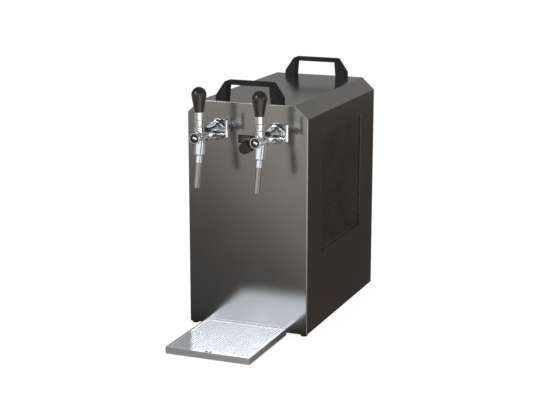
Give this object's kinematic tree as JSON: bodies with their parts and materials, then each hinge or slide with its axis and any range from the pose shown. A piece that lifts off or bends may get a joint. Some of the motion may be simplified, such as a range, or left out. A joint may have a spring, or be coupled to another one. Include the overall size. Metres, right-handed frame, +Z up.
{
  "type": "countertop drink cooler and dispenser",
  "caption": "Countertop beer cooler and dispenser: tall steel case with side grilles, carrying handles, compensator taps and a loose drip tray in front",
  "frame": {"origin": "on the table, under the middle of the whole footprint", "axes": "+Z up; +X to the right across the front plate, seen from the front; +Y from the taps to the rear plate"},
  "size_m": [0.26, 0.6342, 0.515],
  "materials": {
    "polished_panel": "dark polished stainless steel",
    "brushed_cover": "dark satin stainless steel",
    "rear_sheet": "black powder coat",
    "base_sheet": "galvanised steel sheet",
    "grille_plastic": "moulded dark grey ABS",
    "handle_plastic": "fine-grained moulded polyamide",
    "zinc_screws": "zinc plated steel",
    "tray_steel": "brushed stainless steel",
    "grid_steel": "brushed stainless steel, bright",
    "foot_rubber": "moulded black rubber",
    "thermostat_plastic": "moulded housing",
    "dial_knob": "moulded dark grey ABS",
    "scale_foil": "printed foil with plain numbers",
    "cast_block": "cast aluminium",
    "foam": "rigid polyurethane foam",
    "compressor_paint": "black enamel",
    "terminal_plastic": "moulded black plastic",
    "condenser_fins": "rolled aluminium fins",
    "shroud_sheet": "black coated sheet",
    "motor_paint": "dark grey paint",
    "fan_plastic": "moulded black polypropylene",
    "copper_pipe": "drawn copper",
    "switch_plastic": "moulded black polyamide",
    "rocker_plastic": "moulded black polycarbonate",
    "gland_plastic": "moulded black polyamide",
    "tap_chrome": "bright chrome plate on brass",
    "knob_gloss": "gloss black phenolic",
    "acetal": "turned acetal",
    "spout_steel": "polished stainless tube",
    "beer_hose": "food grade polyethylene tube",
    "inlet_steel": "stainless steel tube"
  },
  "bodies": {
    "cooler": {"base_pan": "base_sheet", "beer_inlet_pipe_left": "inlet_steel", "beer_inlet_pipe_right": "inlet_steel", "beer_outlet_hose_left": "beer_hose", "beer_outlet_hose_right": "beer_hose", "cable_gland": "gland_plastic", "compressor": "compressor_paint", "compressor_grommets": "foot_rubber", "compressor_terminal_box": "terminal_plastic", "condenser": "condenser_fins", "cooling_block": "cast_block", "coupling_nut_left": "tap_chrome", "coupling_nut_right": "tap_chrome", "cover": "brushed_cover", "discharge_pipe": "copper_pipe", "fan_motor": "motor_paint", "fan_shroud": "shroud_sheet", "filter_drier": "copper_pipe", "front_panel": "polished_panel", "handle_front": "handle_plastic", "handle_rear": "handle_plastic", "handle_screws": "zinc_screws", "insulation_case": "foam", "liquid_pipe": "copper_pipe", "rear_panel": "rear_sheet", "rear_screws": "zinc_screws", "rubber_feet": "foot_rubber", "shank_nuts": "zinc_screws", "side_grille_left": "grille_plastic", "side_grille_right": "grille_plastic", "spout_nozzle_left": "tap_chrome", "spout_nozzle_right": "tap_chrome", "spout_tube_left": "spout_steel", "spout_tube_right": "spout_steel", "suction_pipe": "copper_pipe", "switch_frame": "switch_plastic", "tap_body_left": "tap_chrome", "tap_body_right": "tap_chrome", "tap_cap_left": "tap_chrome", "tap_cap_right": "tap_chrome", "tap_shank_left": "tap_chrome", "tap_shank_right": "tap_chrome", "thermostat_scale": "scale_foil", "thermostat_unit": "thermostat_plastic"},
    "drip_tray": {"drip_tray": "tray_steel"},
    "drip_grid": {"drip_grid": "grid_steel"},
    "thermostat_dial": {"thermostat_knob": "dial_knob"},
    "fan": {"fan_rotor": "fan_plastic"},
    "rocker": {"switch_rocker": "rocker_plastic"},
    "pour_lever_left": {"tap_lever_left": "tap_chrome", "tap_knob_left": "knob_gloss"},
    "valve_left": {"valve_plunger_left": "acetal"},
    "flow_lever_left": {"compensator_lever_left": "tap_chrome"},
    "flow_cone_left": {"compensator_cone_left": "acetal"},
    "pour_lever_right": {"tap_lever_right": "tap_chrome", "tap_knob_right": "knob_gloss"},
    "valve_right": {"valve_plunger_right": "acetal"},
    "flow_lever_right": {"compensator_lever_right": "tap_chrome"},
    "flow_cone_right": {"compensator_cone_right": "acetal"}
  },
  "joints": [
    {"name": "pour_lever_left_tilt", "type": "hinge", "parent": "cooler", "child": "pour_lever_left", "pos_m": [-0.064, -0.20885, 0.439], "axis": [1, 0, 0], "range_deg": [-12, 27]},
    {"name": "valve_left_slide", "type": "slide", "parent": "cooler", "child": "valve_left", "axis": [0, 1, 0], "range_m": [-0.0041, 0.0091]},
    {"name": "flow_lever_left_turn", "type": "hinge", "parent": "cooler", "child": "flow_lever_left", "pos_m": [-0.0255, -0.16385, 0.4164], "axis": [1, 0, 0], "range_deg": [0, 90]},
    {"name": "flow_cone_left_slide", "type": "slide", "parent": "cooler", "child": "flow_cone_left", "axis": [0, -1, 0], "range_m": [0, 0.0039]},
    {"name": "pour_lever_right_tilt", "type": "hinge", "parent": "cooler", "child": "pour_lever_right", "pos_m": [0.064, -0.20885, 0.439], "axis": [1, 0, 0], "range_deg": [-12, 27]},
    {"name": "valve_right_slide", "type": "slide", "parent": "cooler", "child": "valve_right", "axis": [0, 1, 0], "range_m": [-0.0041, 0.0091]},
    {"name": "flow_lever_right_turn", "type": "hinge", "parent": "cooler", "child": "flow_lever_right", "pos_m": [0.1025, -0.16385, 0.4164], "axis": [1, 0, 0], "range_deg": [0, 90]},
    {"name": "flow_cone_right_slide", "type": "slide", "parent": "cooler", "child": "flow_cone_right", "axis": [0, -1, 0], "range_m": [0, 0.0039]},
    {"name": "thermostat_dial_turn", "type": "hinge", "parent": "cooler", "child": "thermostat_dial", "pos_m": [0, -0.12185, 0.384], "axis": [0, 1, 0], "range_deg": [0, 270]},
    {"name": "fan_spin", "type": "hinge", "parent": "cooler", "child": "fan", "pos_m": [0.07, 0.08315, 0.284], "axis": [1, 0, 0], "continuous": true},
    {"name": "rocker_tip", "type": "hinge", "parent": "cooler", "child": "rocker", "pos_m": [0.07, 0.29415, 0.064], "axis": [1, 0, 0], "range_deg": [-20, 0]},
    {"name": "drip_tray_draw", "type": "slide", "parent": "cooler", "child": "drip_tray", "axis": [0, -1, 0], "range_m": [0, 0.12]},
    {"name": "drip_grid_lift", "type": "slide", "parent": "drip_tray", "child": "drip_grid", "axis": [0, 0, 1], "range_m": [0, 0.05]}
  ],
  "couplings": [
    {"joint": "valve_left_slide", "follows": "pour_lever_left_tilt", "m_per_rad": 0.019},
    {"joint": "flow_cone_left_slide", "follows": "flow_lever_left_turn", "m_per_rad": 0.002431},
    {"joint": "valve_right_slide", "follows": "pour_lever_right_tilt", "m_per_rad": 0.019},
    {"joint": "flow_cone_right_slide", "follows": "flow_lever_right_turn", "m_per_rad": 0.002431}
  ]
}
